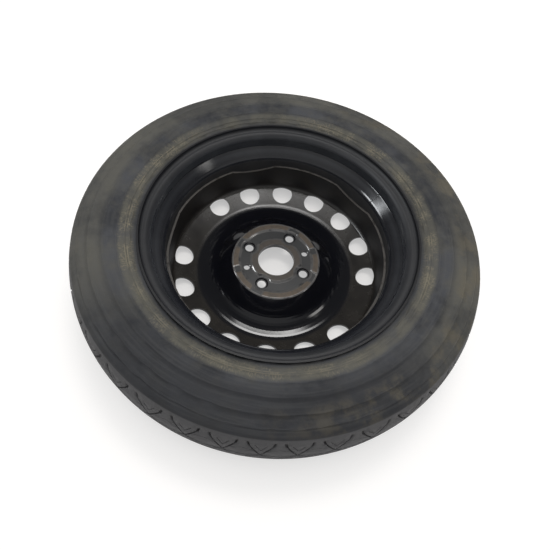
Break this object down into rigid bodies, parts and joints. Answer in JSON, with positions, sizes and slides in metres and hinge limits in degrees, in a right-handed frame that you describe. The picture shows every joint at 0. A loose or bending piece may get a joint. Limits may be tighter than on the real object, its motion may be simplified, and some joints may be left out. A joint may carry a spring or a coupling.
{
  "type": "spare wheel",
  "caption": "Narrow temporary spare wheel: pressed steel disc welded into a rolled steel rim, with its tyre and a snap-in rubber valve under a screw cap.",
  "frame": {"origin": "centre of the hub mounting face, on the wheel's axis", "axes": "+Z along the wheel's axis towards the car, which is up as the wheel lies; +X towards one stud hole and the valve"},
  "size_m": [0.606, 0.606, 0.1334],
  "materials": {
    "tyre": "matt, dusty",
    "black_paint": "gloss",
    "valve_rubber": "matt",
    "brass": "satin",
    "seal": "matt",
    "spring_steel": "bright",
    "cap_plastic": "satin"
  },
  "bodies": {
    "wheel": {"tyre": "tyre", "rim": "black_paint", "wheel_disc": "black_paint", "disc_welds": "black_paint", "valve_body": "valve_rubber", "valve_stem": "brass", "valve_core": "brass", "core_gasket": "seal", "valve_spring": "spring_steel"},
    "pin": {"valve_pin": "brass", "pin_seal": "valve_rubber"},
    "cap": {"valve_cap": "cap_plastic", "cap_gasket": "valve_rubber"}
  },
  "joints": [
    {"name": "valve_press", "type": "slide", "parent": "wheel", "child": "pin", "axis": [0, 0, 1], "range_m": [0, 0.0015], "stiffness_N_per_m": 400, "springref_m": -0.003, "deforming": ["valve_spring"]},
    {"name": "cap_unscrew", "type": "slide", "parent": "wheel", "child": "cap", "axis": [0, 0, -1], "range_m": [0, 0.012]}
  ]
}
